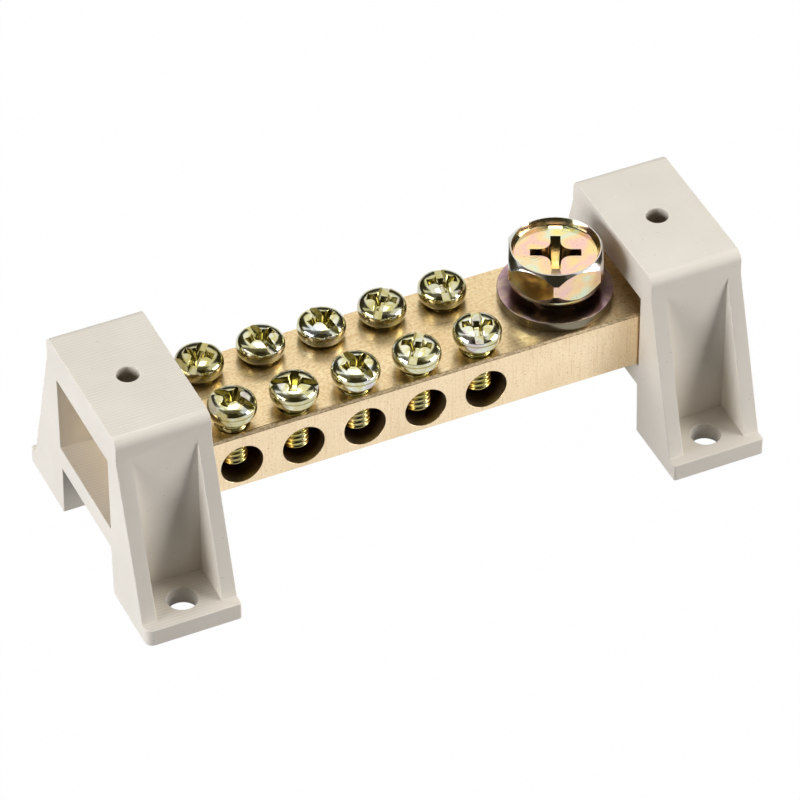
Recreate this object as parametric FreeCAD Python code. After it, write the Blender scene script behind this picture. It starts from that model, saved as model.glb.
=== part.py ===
"""Earth terminal bar: a drilled brass bar carried by two moulded bridge supports.

Frame: origin on the mounting surface, midway between the supports. +X runs along the bar
towards the end with the large clamping bolt, +Y across the bar, +Z up. Millimetres.
"""
import FreeCAD, Part

import math
import os
from FreeCAD import Vector

# Layout along the bar, from the left support's inner face to the right one's
support_to_first_hole = 5.58
wire_hole_count = 5
wire_hole_pitch = 9.0
last_hole_to_bolt = 14.41
washer_to_support = 0.51         # play between the washer's edge and the right support
bar_end_overlap = 7.75           # how far each end of the bar reaches into its support

# Brass bar
bar_width = 17.2
bar_height = 9.15
bar_chamfer = 0.35
wire_hole_diameter = 6.1
wire_hole_height = 4.05          # axis above the bar's underside
screw_row_inset = 3.0            # each row of screws, from the bar's nearer side
tap_countersink = 0.4            # how far a tapped hole's countersink stands out all round

# Terminal screws: pan head with a slot across it and a shorter cross recess
screw_thread_diameter = 4.0
screw_length = 8.1
screw_tip_chamfer = 0.8
screw_head_diameter = 6.76
screw_head_height = 3.1
screw_underside_diameter = 4.7   # the head's flat underside, inside its rounded lower part
screw_side_bottom = 1.0          # where the head's upright side begins
screw_side_top = 1.95
screw_crown_diameter = 5.0       # the head's flat top, inside its shoulder
screw_slot_width = 1.1
screw_slot_depth = 1.1
screw_recess_span = 4.25
screw_recess_width = 1.15
screw_recess_depth = 1.75
screw_recess_floor_span = 2.2

# How far each screw has been left unscrewed, and which way its slot points, degrees from +X
front_screw_lifts = (1.55, 1.05, 1.15, 1.00, 1.40)
front_slot_azimuths = (124.0, 152.0, 106.0, 55.0, 71.0)
back_screw_lifts = (0.40, 0.35, 0.25, 0.40, 0.40)
back_slot_azimuths = (49.0, 101.0, 105.0, 54.0, 77.0)

# Main clamping bolt: hexagon head, dished on top, with a round collar under it
bolt_thread_diameter = 8.0
bolt_length = 12.0
bolt_tip_chamfer = 0.8
bolt_lift = 1.60                 # the bolt stands unscrewed by this much above the washer
hex_across_flats = 12.9
hex_corner_diameter = 14.5
hex_corner_azimuth = 244.8
bolt_ring_diameter = 12.8
bolt_ring_height = 1.50          # the round part under the hexagon
bolt_bevel_top = 2.45            # where the bevel under the corners ends
bolt_chamfer_bottom = 4.30       # where the chamfer over the corners begins
bolt_head_height = 5.48
bolt_top_diameter = 12.52
bolt_rim_width = 0.38
bolt_dish_depth = 1.12
bolt_dish_draft = 0.35           # how far the dish's wall leans in towards its floor
bolt_recess_span = 7.0
bolt_recess_width = 1.4
bolt_recess_flare = 1.5
bolt_recess_depth = 3.0
bolt_recess_floor_span = 3.6
bolt_recess_floor_width = 1.0
bolt_recess_floor_flare = 0.7

# Plain washer
washer_diameter = 16.0
washer_hole_play = 0.4           # wider than the bolt's thread
washer_thickness = 1.5
washer_edge_break = 0.15

# Moulded support
support_depth = 13.7             # along the bar
bar_side_clearance = 0.3         # bar to the window's side, each side
bar_top_clearance = 3.0          # bar to the lintel
leg_thickness = 3.15             # window's side to the body's outer wall
arch_height = 8.2
arch_top_inset = 0.3             # the arch's top is narrower than the window, each side
crossbar_thickness = 3.45
lintel_thickness = 5.6
support_top_round = 1.5
foot_reach = 8.55                # the foot plate past the body's outer wall
foot_thickness = 2.7
foot_corner_round = 0.35
foot_marker_corner_round = 1.2   # one corner of each moulding is rounder than the others
foot_hole_diameter = 4.3
foot_hole_edge_distance = 4.2    # hole's axis from the foot plate's end
rib_thickness = 2.15
rib_foot_setback = 1.6           # the rib's outer end from the foot plate's end
rib_top_drop = 3.6               # the rib's top below the support's top
pilot_hole_diameter = 3.2

# Screws that hold the bar down on each crossbar, from below
fixing_inset = 3.8               # from the bar's end
fixing_thread_diameter = 4.0
fixing_length = 8.0
fixing_tap_depth = 6.5
fixing_head_diameter = 7.6
fixing_head_height = 2.4
fixing_head_chamfer = 0.6
fixing_tip_chamfer = 0.5
fixing_hole_play = 0.5           # crossbar's hole, wider than the thread
fixing_recess_span = 4.2
fixing_recess_width = 1.0
fixing_recess_depth = 1.5
fixing_recess_floor_span = 2.0

# The threads are drawn as plain cylinders; this is the play between screw and tapped hole
thread_clearance = 0.05

# Worked out from the sizes above
hole_row_length = wire_hole_pitch * (wire_hole_count - 1)
bolt_to_support = washer_diameter / 2 + washer_to_support
clear_span = support_to_first_hole + hole_row_length + last_hole_to_bolt + bolt_to_support
support_spacing = clear_span + support_depth
bar_length = clear_span + 2 * bar_end_overlap
first_wire_hole_x = support_to_first_hole - clear_span / 2
wire_hole_xs = [first_wire_hole_x + wire_hole_pitch * i for i in range(wire_hole_count)]
main_bolt_x = clear_span / 2 - bolt_to_support
fixing_x = bar_length / 2 - fixing_inset
screw_row_offset = bar_width / 2 - screw_row_inset
bar_underside = arch_height + crossbar_thickness
bar_top = bar_underside + bar_height
wire_hole_z = bar_underside + wire_hole_height
bolt_seat_z = bar_top + washer_thickness + bolt_lift
window_width = bar_width + 2 * bar_side_clearance
window_top = bar_top + bar_top_clearance
support_height = window_top + lintel_thickness
support_body_width = window_width + 2 * leg_thickness
foot_width = support_body_width + 2 * foot_reach
foot_hole_spacing = foot_width - 2 * foot_hole_edge_distance


def box_about(centre_x, centre_y, size_x, size_y, low_z, high_z):
    """A block centred on a point of the plan, between two heights."""
    corner = Vector(centre_x - size_x / 2, centre_y - size_y / 2, low_z)
    return Part.makeBox(size_x, size_y, high_z - low_z, corner)


def upright_cylinder(x, y, low_z, high_z, diameter):
    """A cylinder along Z between two heights."""
    return Part.makeCylinder(diameter / 2, high_z - low_z, Vector(x, y, low_z))


def upright_cone(x, y, low_z, high_z, low_diameter, high_diameter):
    """A cone along Z between two heights."""
    return Part.makeCone(low_diameter / 2, high_diameter / 2, high_z - low_z, Vector(x, y, low_z))


def polygon_wire(points):
    """A closed wire through points, with straight sides."""
    return Part.makePolygon([Vector(*p) for p in points] + [Vector(*points[0])])


def turned(points):
    """A solid of revolution about Z from a half section's (radius, height) points."""
    outline = polygon_wire([(radius, 0, height) for radius, height in points])
    return Part.Face(outline).revolve(Vector(0, 0, 0), Vector(0, 0, 1), 360)


def placed(shape, x, y, z, azimuth=0.0):
    """A copy turned about its own Z axis and moved."""
    copy = shape.copy()
    copy.rotate(Vector(0, 0, 0), Vector(0, 0, 1), azimuth)
    copy.translate(Vector(x, y, z))
    return copy


def tapered_wing(span, floor_span, width, top, depth):
    """One wing of a cross recess: a blade that narrows towards its floor."""
    outline = polygon_wire([
        (-span / 2, -width / 2, top),
        (span / 2, -width / 2, top),
        (floor_span / 2, -width / 2, top - depth),
        (-floor_span / 2, -width / 2, top - depth),
    ])
    return Part.Face(outline).extrude(Vector(0, width, 0))


def cross_recess(span, floor_span, width, top, depth):
    """A plain cross recess: two tapered wings at right angles."""
    wing = tapered_wing(span, floor_span, width, top, depth)
    return wing.fuse(placed(wing, 0, 0, 0, 90))


def flared_cross_wire(span, width, flare, z):
    """A cross outline whose four inner corners are hollow arcs."""
    tip = span / 2
    half = width / 2
    root = half + flare
    edges = []
    for quadrant in range(4):
        turn = FreeCAD.Rotation(Vector(0, 0, 1), 90 * quadrant)
        near = root - flare * math.cos(math.radians(45))
        points = [
            Vector(tip, -half, z), Vector(tip, half, z), Vector(root, half, z),
            Vector(near, near, z), Vector(half, root, z), Vector(half, tip, z),
        ]
        p = [turn.multVec(v) for v in points]
        edges.append(Part.makeLine(p[0], p[1]))
        edges.append(Part.makeLine(p[1], p[2]))
        edges.append(Part.Arc(p[2], p[3], p[4]).toShape())
        edges.append(Part.makeLine(p[4], p[5]))
    return Part.Wire(edges)


def support_moulding():
    """One bridge support, standing on z = 0 about its own middle, inner side towards +X."""
    depth = support_depth
    body = box_about(0, 0, depth, support_body_width, 0, support_height)
    top_edges = [
        e for e in body.Edges
        if abs(e.CenterOfMass.z - support_height) < 1e-6
        and abs(abs(e.CenterOfMass.y) - support_body_width / 2) < 1e-6
    ]
    body = body.makeFillet(support_top_round, top_edges)
    body = body.fuse(support_foot_plate())
    for side in (1, -1):
        for end in (1, -1):
            body = body.fuse(support_rib(side, end))
    past = 1.0
    body = body.cut(box_about(0, 0, depth + 2 * past, window_width, bar_underside, window_top))
    body = body.cut(support_arch(past))
    for side in (1, -1):
        hole_y = side * foot_hole_spacing / 2
        body = body.cut(upright_cylinder(0, hole_y, -past, foot_thickness + past,
                                         foot_hole_diameter))
    body = body.cut(upright_cylinder(0, 0, window_top - past, support_height + past,
                                     pilot_hole_diameter))
    hole_x = support_spacing / 2 - fixing_x
    body = body.cut(upright_cylinder(hole_x, 0, arch_height - past, bar_underside + past,
                                     fixing_thread_diameter + fixing_hole_play))
    return body.removeSplitter()


def support_foot_plate():
    """The foot plate, with one corner rounder than the other three."""
    plate = box_about(0, 0, support_depth, foot_width, 0, foot_thickness)
    for radius, wanted in ((foot_marker_corner_round, True), (foot_corner_round, False)):
        edges = [
            e for e in plate.Edges
            if is_foot_corner(e) and is_marker_corner(e) == wanted
        ]
        plate = plate.makeFillet(radius, edges)
    return plate


def is_foot_corner(edge):
    """True for a sharp upright edge at one of the plate's four corners."""
    centre = edge.CenterOfMass
    at_x = abs(abs(centre.x) - support_depth / 2) < 1e-6
    at_y = abs(abs(centre.y) - foot_width / 2) < 1e-6
    return at_x and at_y


def is_marker_corner(edge):
    """True for the corner at -X, -Y, which is the rounder one."""
    return edge.CenterOfMass.x < 0 and edge.CenterOfMass.y < 0


def support_rib(side, end):
    """A gusset rib, flush with one end of the support, from its wall down to the foot."""
    wall = support_body_width / 2
    inside = wall - rib_thickness
    reach = foot_width / 2 - rib_foot_setback
    rib_top = support_height - rib_top_drop
    x0 = support_depth / 2 - rib_thickness if end > 0 else -support_depth / 2
    outline = polygon_wire([
        (x0, side * inside, 0),
        (x0, side * reach, 0),
        (x0, side * reach, foot_thickness),
        (x0, side * wall, rib_top),
        (x0, side * inside, rib_top),
    ])
    return Part.Face(outline).extrude(Vector(rib_thickness, 0, 0))


def support_arch(past):
    """The space under the crossbar, as wide as the window at the floor and narrower above."""
    x0 = -support_depth / 2 - past
    foot_half = window_width / 2
    top_half = foot_half - arch_top_inset
    spread = arch_top_inset / arch_height * past
    outline = polygon_wire([
        (x0, -foot_half - spread, -past),
        (x0, foot_half + spread, -past),
        (x0, top_half, arch_height),
        (x0, -top_half, arch_height),
    ])
    return Part.Face(outline).extrude(Vector(support_depth + 2 * past, 0, 0))


def brass_bar():
    """The bar: wire holes across it, tapped holes into them, and the main bolt's hole."""
    bar = box_about(0, 0, bar_length, bar_width, bar_underside, bar_top)
    long_edges = [e for e in bar.Edges if abs(e.Length - bar_length) < 1e-6]
    bar = bar.makeChamfer(bar_chamfer, long_edges)
    past = 1.0
    for x in wire_hole_xs:
        start = Vector(x, -bar_width / 2 - past, wire_hole_z)
        reach = bar_width + 2 * past
        bar = bar.cut(Part.makeCylinder(wire_hole_diameter / 2, reach, start, Vector(0, 1, 0)))
        for y in (-screw_row_offset, screw_row_offset):
            bar = bar.cut(tapped_hole(x, y, wire_hole_z, screw_thread_diameter))
    bar = bar.cut(tapped_hole(main_bolt_x, 0, bar_underside - past, bolt_thread_diameter))
    for side in (1, -1):
        tap = upright_cylinder(side * fixing_x, 0, bar_underside - past,
                               bar_underside + fixing_tap_depth,
                               fixing_thread_diameter + 2 * thread_clearance)
        bar = bar.cut(tap)
    return bar


def tapped_hole(x, y, low_z, diameter):
    """A tapped hole's space from low_z up through the bar's top, with a countersink."""
    wall = diameter + 2 * thread_clearance
    hole = upright_cylinder(x, y, low_z, bar_top + 1.0, wall)
    sink = upright_cone(x, y, bar_top - tap_countersink, bar_top, wall,
                        wall + 2 * tap_countersink)
    return hole.fuse(sink)


def terminal_screw():
    """A terminal screw, its head's underside on z = 0 and its slot along X."""
    shank = screw_thread_diameter / 2
    tip = -screw_length
    head = screw_head_diameter / 2
    top = screw_head_height
    blank = turned([
        (0, tip),
        (shank - screw_tip_chamfer, tip),
        (shank, tip + screw_tip_chamfer),
        (shank, 0),
        (screw_underside_diameter / 2, 0),
        (head, screw_side_bottom),
        (head, screw_side_top),
        (screw_crown_diameter / 2, top),
        (0, top),
    ])
    slot = box_about(0, 0, screw_head_diameter + 1, screw_slot_width, top - screw_slot_depth,
                     top + 1)
    recess = cross_recess(screw_recess_span, screw_recess_floor_span, screw_recess_width, top,
                          screw_recess_depth)
    return blank.cut(slot).cut(recess)


def main_bolt():
    """The hexagon bolt with a dished, cross-recessed head; the ring's underside on z = 0."""
    shank = bolt_thread_diameter / 2
    tip = -bolt_length
    corner = hex_corner_diameter / 2
    ring = bolt_ring_diameter / 2
    rim = bolt_top_diameter / 2 - bolt_rim_width
    dish_floor = bolt_head_height - bolt_dish_depth
    blank = turned([
        (0, tip),
        (shank - bolt_tip_chamfer, tip),
        (shank, tip + bolt_tip_chamfer),
        (shank, 0),
        (ring, 0),
        (ring, bolt_ring_height),
        (corner, bolt_bevel_top),
        (corner, bolt_chamfer_bottom),
        (bolt_top_diameter / 2, bolt_head_height),
        (rim, bolt_head_height),
        (rim - bolt_dish_draft, dish_floor),
        (0, dish_floor),
    ])
    blank = blank.common(hexagon_prism(tip - 1, bolt_head_height + 1))
    mouth = flared_cross_wire(bolt_recess_span, bolt_recess_width, bolt_recess_flare, dish_floor)
    floor = flared_cross_wire(bolt_recess_floor_span, bolt_recess_floor_width,
                              bolt_recess_floor_flare, dish_floor - bolt_recess_depth)
    return blank.cut(Part.makeLoft([mouth, floor], True, True))


def hexagon_prism(low_z, high_z):
    """A hexagon prism with a corner on +X."""
    corner = hex_across_flats / 2 / math.cos(math.radians(30))
    points = []
    for i in range(6):
        angle = math.radians(60 * i)
        points.append((corner * math.cos(angle), corner * math.sin(angle), low_z))
    return Part.Face(polygon_wire(points)).extrude(Vector(0, 0, high_z - low_z))


def plain_washer():
    """The plain washer, lying on z = 0, with its outer edges broken."""
    outer = washer_diameter / 2
    inner = (bolt_thread_diameter + washer_hole_play) / 2
    top = washer_thickness
    broken = washer_edge_break
    return turned([
        (inner, 0),
        (outer - broken, 0),
        (outer, broken),
        (outer, top - broken),
        (outer - broken, top),
        (inner, top),
    ])


def fixing_screw():
    """A pan head screw that points up: head below z = 0, thread above it."""
    shank = fixing_thread_diameter / 2
    head = fixing_head_diameter / 2
    low = -fixing_head_height
    tip = fixing_length
    blank = turned([
        (0, low),
        (head - fixing_head_chamfer, low),
        (head, low + fixing_head_chamfer),
        (head, 0),
        (shank, 0),
        (shank, tip - fixing_tip_chamfer),
        (shank - fixing_tip_chamfer, tip),
        (0, tip),
    ])
    recess = cross_recess(fixing_recess_span, fixing_recess_floor_span, fixing_recess_width,
                          fixing_head_height, fixing_recess_depth)
    recess.rotate(Vector(0, 0, 0), Vector(1, 0, 0), 180)
    return blank.cut(recess)


def terminal_screws():
    """The ten terminal screws, by name, each at its own height and turn."""
    screw = terminal_screw()
    rows = (
        ("front", -screw_row_offset, front_screw_lifts, front_slot_azimuths),
        ("back", screw_row_offset, back_screw_lifts, back_slot_azimuths),
    )
    named = {}
    for row, y, lifts, azimuths in rows:
        for i, x in enumerate(wire_hole_xs):
            name = "terminal_screw_%s_%d" % (row, i + 1)
            named[name] = placed(screw, x, y, bar_top + lifts[i], azimuths[i])
    return named


def all_pieces():
    """Every piece of the terminal bar, by name, in its place."""
    pieces = {}
    support = support_moulding()
    pieces["support_left"] = placed(support, -support_spacing / 2, 0, 0)
    pieces["support_right"] = placed(support, support_spacing / 2, 0, 0, 180)
    pieces["brass_bar"] = brass_bar()
    pieces.update(terminal_screws())
    pieces["plain_washer"] = placed(plain_washer(), main_bolt_x, 0, bar_top)
    pieces["main_bolt"] = placed(main_bolt(), main_bolt_x, 0, bolt_seat_z, hex_corner_azimuth)
    for name, side in (("left", -1), ("right", 1)):
        pieces["bar_fixing_screw_" + name] = placed(fixing_screw(), side * fixing_x, 0,
                                                    arch_height)
    return pieces


os.makedirs("parts", exist_ok=True)
for name, solid in all_pieces().items():
    solid.exportStep("parts/%s.step" % name)
    print(name, "valid", solid.isValid(), "solids", len(solid.Solids), "mm3", round(solid.Volume, 1))
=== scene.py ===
"""Earth terminal bar: a drilled brass bar with plated screws, carried by two moulded supports.

The CAD model is the frame. Every shown piece stands for one of its nodes, in metres and in the
same place. The origin is on the mounting surface, +X runs along the bar towards the large
clamping bolt and +Z is up. Sizes in the classes are millimetres unless they say otherwise.
"""
import logging
import math
from contextlib import contextmanager
from dataclasses import dataclass
from enum import Enum
from typing import Any, Callable, Iterator, Mapping, Sequence

import bmesh
import bpy
from mathutils import Matrix, Vector


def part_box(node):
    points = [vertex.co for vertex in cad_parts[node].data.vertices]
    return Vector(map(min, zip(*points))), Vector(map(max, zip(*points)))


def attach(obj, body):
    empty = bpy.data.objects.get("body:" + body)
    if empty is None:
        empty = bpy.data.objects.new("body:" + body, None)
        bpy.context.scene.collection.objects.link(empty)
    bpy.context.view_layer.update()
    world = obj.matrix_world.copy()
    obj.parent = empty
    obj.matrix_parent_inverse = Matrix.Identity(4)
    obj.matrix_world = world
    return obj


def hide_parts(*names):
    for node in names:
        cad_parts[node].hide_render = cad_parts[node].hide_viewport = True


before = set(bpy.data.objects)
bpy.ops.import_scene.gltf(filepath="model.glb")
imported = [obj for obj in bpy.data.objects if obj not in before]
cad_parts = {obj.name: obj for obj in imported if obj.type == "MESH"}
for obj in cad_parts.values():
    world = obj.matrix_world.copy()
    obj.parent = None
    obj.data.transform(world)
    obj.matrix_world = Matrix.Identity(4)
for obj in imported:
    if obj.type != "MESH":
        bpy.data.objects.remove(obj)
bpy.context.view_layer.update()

logging.basicConfig(level=logging.INFO, format="%(name)s: %(message)s")
log = logging.getLogger("terminal_bar")

MM = 0.001
BODY = "root"

Colour = tuple[float, ...]
Point = tuple[float, float]
Rule = Callable[[Vector, Vector], float]
Material = bpy.types.Material
Mesh = bpy.types.Mesh
Object = bpy.types.Object
Socket = bpy.types.NodeSocket


class Slot(str, Enum):
    """Material slots named in the record."""

    BRASS = "bar_brass"
    PLASTIC = "support_plastic"
    SCREW_ZINC = "screw_zinc"
    BOLT_ZINC = "bolt_zinc"


# Node graphs


class NodeGraph:
    """Writes nodes into a node tree."""

    def __init__(self, tree: bpy.types.NodeTree) -> None:
        """Empties the tree that is written into."""
        self.tree = tree
        self.tree.nodes.clear()

    def add(self, kind: str, inputs: Mapping[Any, Any] | None = None, **settings: Any) -> bpy.types.Node:
        """Adds a node.

        Args:
            kind: the node's type name.
            inputs: values or sockets for its inputs, by socket name or number.
            settings: properties of the node itself.

        Returns:
            The new node.
        """
        node = self.tree.nodes.new(kind)
        for name, value in settings.items():
            setattr(node, name, value)
        for key, value in (inputs or {}).items():
            if isinstance(value, Socket):
                self.tree.links.new(value, node.inputs[key])
            else:
                node.inputs[key].default_value = value
        return node

    def first(self, kind: str, inputs: Mapping[Any, Any] | None = None, **settings: Any) -> Socket:
        """Adds a node and returns its first output."""
        return self.add(kind, inputs, **settings).outputs[0]

    def math(self, operation: str, *values: Any) -> Socket:
        """Adds a math node and returns its result."""
        return self.first("ShaderNodeMath", dict(enumerate(values)), operation=operation)

    def plus(self, a: Any, b: Any) -> Socket:
        """Adds two values."""
        return self.math("ADD", a, b)

    def minus(self, a: Any, b: Any) -> Socket:
        """Takes the second value from the first."""
        return self.math("SUBTRACT", a, b)

    def times(self, a: Any, b: Any) -> Socket:
        """Multiplies two values."""
        return self.math("MULTIPLY", a, b)

    def over(self, a: Any, b: Any) -> Socket:
        """Divides the first value by the second."""
        return self.math("DIVIDE", a, b)

    def absolute(self, a: Any) -> Socket:
        """A value without its sign."""
        return self.math("ABSOLUTE", a)

    def hypot(self, a: Any, b: Any) -> Socket:
        """Distance of the point a, b from the origin of its plane."""
        return self.math("SQRT", self.plus(self.math("POWER", a, 2.0), self.math("POWER", b, 2.0)))

    def between(self, value: Any, start: float, end: float) -> Socket:
        """Rises from 0 where a value is at start to 1 where it is at end, and stays within both."""
        inputs = {"Value": value, "From Min": start, "From Max": end, "To Min": 0.0, "To Max": 1.0}
        return self.first("ShaderNodeMapRange", inputs, clamp=True)

    def join(self, *parts: Socket) -> Socket:
        """Joins geometries.

        Args:
            parts: the geometries, in order.

        Returns:
            All of them as one.
        """
        node = self.add("GeometryNodeJoinGeometry")
        for part in parts:
            self.tree.links.new(part, node.inputs[0])
        return node.outputs[0]


def linear(value: float) -> float:
    """Turns one channel of a display colour, 0 to 255, into a linear one."""
    value /= 255.0
    return value / 12.92 if value <= 0.04045 else ((value + 0.055) / 1.055) ** 2.4


def srgb(red: float, green: float, blue: float) -> Colour:
    """Turns a display colour, 0 to 255, into a linear one."""
    return (linear(red), linear(green), linear(blue), 1.0)


class SurfaceWriter(NodeGraph):
    """A node graph for one procedural surface, measured in the object's own coordinates."""

    def __init__(self, name: str) -> None:
        """Starts the material.

        Args:
            name: the material's name.
        """
        self.material = bpy.data.materials.new(name)
        self.material.use_nodes = True
        super().__init__(self.material.node_tree)
        self.output = self.add("ShaderNodeOutputMaterial")
        texture = self.add("ShaderNodeTexCoord").outputs
        self.coordinates = texture["Object"]
        self.place = self.add("ShaderNodeSeparateXYZ", {"Vector": texture["Object"]}).outputs
        self.facing = self.add("ShaderNodeSeparateXYZ", {"Vector": texture["Normal"]}).outputs

    def stretched(self, scale: float | Sequence[float], location: Sequence[float]) -> Socket:
        """Object coordinates, scaled and moved.

        Args:
            scale: how many texture units fit in a metre, along each axis or along all.
            location: offset after scaling.

        Returns:
            The new coordinates.
        """
        along = scale if isinstance(scale, tuple) else (scale,) * 3
        inputs = {"Vector": self.coordinates, "Location": location, "Scale": along}
        return self.first("ShaderNodeMapping", inputs)

    def noise(
        self, scale: float | Sequence[float], detail: float, location: Sequence[float] = (0, 0, 0)
    ) -> Socket:
        """Fractal noise over stretched object coordinates."""
        vector = self.stretched(scale, location)
        return self.first("ShaderNodeTexNoise", {"Vector": vector, "Scale": 1.0, "Detail": detail})

    def dots(self, scale: float, size: float, location: Sequence[float] = (0, 0, 0)) -> Socket:
        """Scattered round dots, 1 in their middles.

        Args:
            scale: dots per metre along each axis.
            size: a dot's radius as a share of the mean distance between dots.
            location: offset that makes two scatterings differ.

        Returns:
            The dots, as a value.
        """
        vector = self.stretched(scale, location)
        cells = self.add("ShaderNodeTexVoronoi", {"Vector": vector, "Scale": 1.0})
        return self.between(cells.outputs["Distance"], size, size * 0.4)

    def scaled(self, value: Any, low: float, high: float) -> Socket:
        """Turns a value between 0 and 1 into one between low and high."""
        return self.first("ShaderNodeMapRange", {"Value": value, "To Min": low, "To Max": high})

    def marked(self, name: str) -> Socket:
        """The value that the mesh carries under a name."""
        return self.add("ShaderNodeAttribute", attribute_name=name).outputs["Fac"]

    def bump(self, height: Any, distance: float, strength: float, **normal: Socket) -> Socket:
        """A bump from a height, laid over another normal if one is given."""
        inputs = {"Height": height, "Distance": distance * MM, "Strength": strength, **normal}
        return self.first("ShaderNodeBump", inputs)

    def tinted(self, base: Any, colour: Colour, share: Any, *shares: Any) -> Socket:
        """Lays a colour over another.

        Args:
            base: the colour below.
            colour: the colour above.
            share: how much of it shows.
            shares: what that is multiplied by.

        Returns:
            The mixed colour.
        """
        for other in shares:
            share = self.times(share, other)
        mix = {0: share, 6: base, 7: colour}
        return self.add("ShaderNodeMix", mix, data_type="RGBA", blend_type="MIX").outputs[2]

    def drifting(self, fineness: float, colours: Sequence[Colour]) -> Socket:
        """A colour that wanders through several, evenly spread over a noise's range.

        Args:
            fineness: changes per metre.
            colours: the colours, in the order in which they meet.

        Returns:
            The colour.
        """
        node = self.add("ShaderNodeValToRGB", {"Fac": self.noise(fineness, 2.0)})
        elements = node.color_ramp.elements
        last = len(colours) - 1
        while len(elements) < len(colours):
            elements.new(1.0)
        for i, (element, colour) in enumerate(zip(elements, colours)):
            element.position = 0.3 + 0.4 * i / last
            element.color = colour
        return node.outputs["Color"]

    def principled(self, **inputs: Any) -> Material:
        """Closes the surface with a principled shader.

        Args:
            inputs: the shader's inputs, with underscores for spaces.

        Returns:
            The material.
        """
        named = {name.replace("_", " "): value for name, value in inputs.items()}
        shader = self.add("ShaderNodeBsdfPrincipled", named)
        self.tree.links.new(shader.outputs["BSDF"], self.output.inputs["Surface"])
        return self.material


# Finishes


@dataclass(frozen=True)
class MouldedPlastic:
    """Light grey-beige moulded plastic.

    Fine lines from the mould run along the bar on level faces, the upright ones are grained, and a
    few dark and pale specks are scattered over both. Painted shade darkens the walls of the upright holes
    in the tops.
    """

    name: str = "moulded_plastic"
    colour: Colour = srgb(229, 223, 212)
    shade: Colour = srgb(223, 217, 206)
    line: Colour = srgb(205, 198, 184)
    speck: Colour = srgb(120, 110, 96)
    glint: Colour = srgb(246, 244, 238)
    painted_hole_shade: Colour = srgb(142, 132, 114)
    roughness: float = 0.42
    line_pitch: float = 0.54
    line_wander: float = 9.0
    line_height: float = 0.012
    grain_height: float = 0.02
    speck_density: float = 620.0
    speck_size: float = 0.07
    speck_share: float = 0.4
    glint_density: float = 500.0
    glint_size: float = 0.06
    glint_share: float = 0.8
    painted_hole_shade_share: float = 0.85
    fade_reach: float = 20.0
    top_z: float = 29.4
    pilot_hole_x: float = 39.1
    pilot_hole_radius: float = 1.6

    def material(self) -> Material:
        """Builds the material, with stronger mould lines on the left support.

        Returns:
            The material.
        """
        s = SurfaceWriter(self.name)
        level = s.between(s.absolute(s.facing["Z"]), 0.7, 0.95)
        wander = s.times(s.noise((120, 260, 260), 2.0), self.line_wander)
        phase = s.times(s.place["Y"], 2 * math.pi / (self.line_pitch * MM))
        lines = s.math("SINE", s.plus(phase, wander))
        ridges = s.times(s.between(lines, -0.4, 1.0), level)
        faded = s.scaled(s.noise((300, 500, 500), 2.0, (9, 4, 1)), 0.1, 1.0)
        reach = self.fade_reach * MM
        leftward = s.scaled(s.between(s.place["X"], reach, -reach), 0.2, 0.6)
        base = s.tinted(self.colour, self.shade, s.between(s.noise(90, 4.0), 0.35, 0.65))
        base = s.tinted(base, self.line, ridges, faded, leftward)
        base = s.tinted(base, self.speck, s.dots(self.speck_density, self.speck_size), self.speck_share)
        glints = s.dots(self.glint_density, self.glint_size, (7, 3, 5))
        base = s.tinted(base, self.glint, glints, self.glint_share)
        # Painted shade: the walls of the upright holes in the tops are darkened towards their depth.
        base = s.tinted(base, self.painted_hole_shade, self._inside_pilot_hole(s), self.painted_hole_shade_share)
        normal = s.bump(ridges, self.line_height, 0.3)
        normal = s.bump(s.noise(2600, 2.0), self.grain_height, 0.4, Normal=normal)
        return s.principled(
            Base_Color=base, Roughness=self.roughness, IOR=1.46, Normal=normal,
            Subsurface_Weight=0.05, Subsurface_Scale=0.5 * MM, Subsurface_Radius=(1.0, 0.8, 0.6),
        )

    def _inside_pilot_hole(self, s: SurfaceWriter) -> Socket:
        """Finds the walls of the upright holes in the tops.

        Args:
            s: the material's graph.

        Returns:
            1 on the walls, fading out at the holes' mouths.
        """
        along = s.minus(s.absolute(s.place["X"]), self.pilot_hole_x * MM)
        out = s.over(s.hypot(along, s.place["Y"]), MM)
        wall = s.between(out, self.pilot_hole_radius + 0.12, self.pilot_hole_radius + 0.06)
        deep = s.between(s.place["Z"], (self.top_z - 0.25) * MM, (self.top_z - 1.5) * MM)
        return s.times(wall, deep)


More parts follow.
